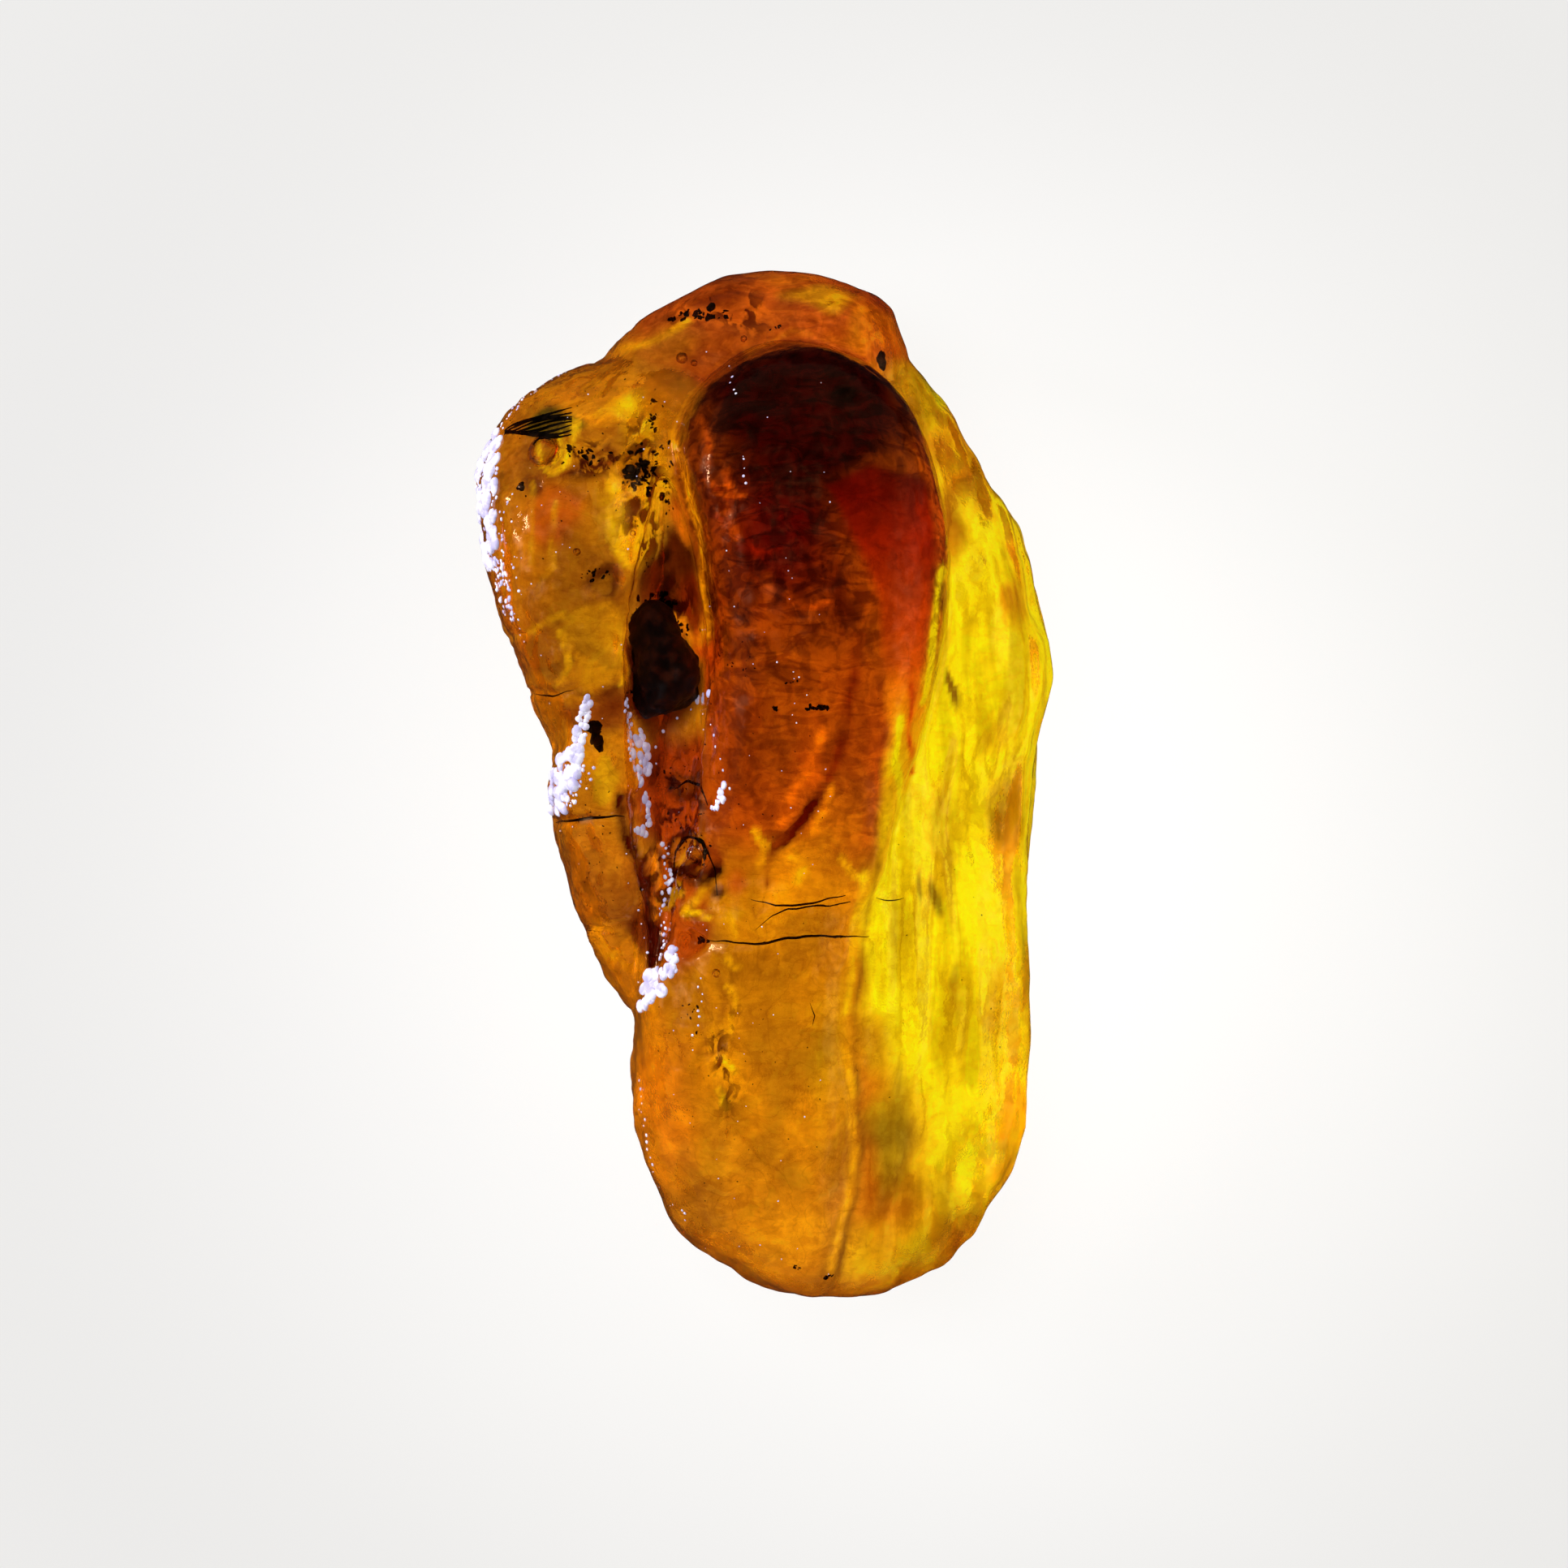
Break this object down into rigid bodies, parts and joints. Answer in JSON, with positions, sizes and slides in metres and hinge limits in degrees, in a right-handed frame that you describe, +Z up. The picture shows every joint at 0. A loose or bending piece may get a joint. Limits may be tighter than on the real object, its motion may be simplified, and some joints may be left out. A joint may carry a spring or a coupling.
{
  "type": "rough amber",
  "caption": "Lump of raw amber from several merged resin flows, with a dark piece of bark lodged in the furrow of its face.",
  "frame": {"origin": "centre of the bounding box at the level of the surface that the lump rests on", "axes": "+Y along the lump to its broad end, +X to its right, +Z up to the face that is looked at"},
  "size_m": [0.0248, 0.0444, 0.0164],
  "materials": {
    "amber": "gloss",
    "bark": "satin"
  },
  "bodies": {
    "root": {"amber": "amber", "bark_fragment": "bark"}
  },
  "joints": []
}
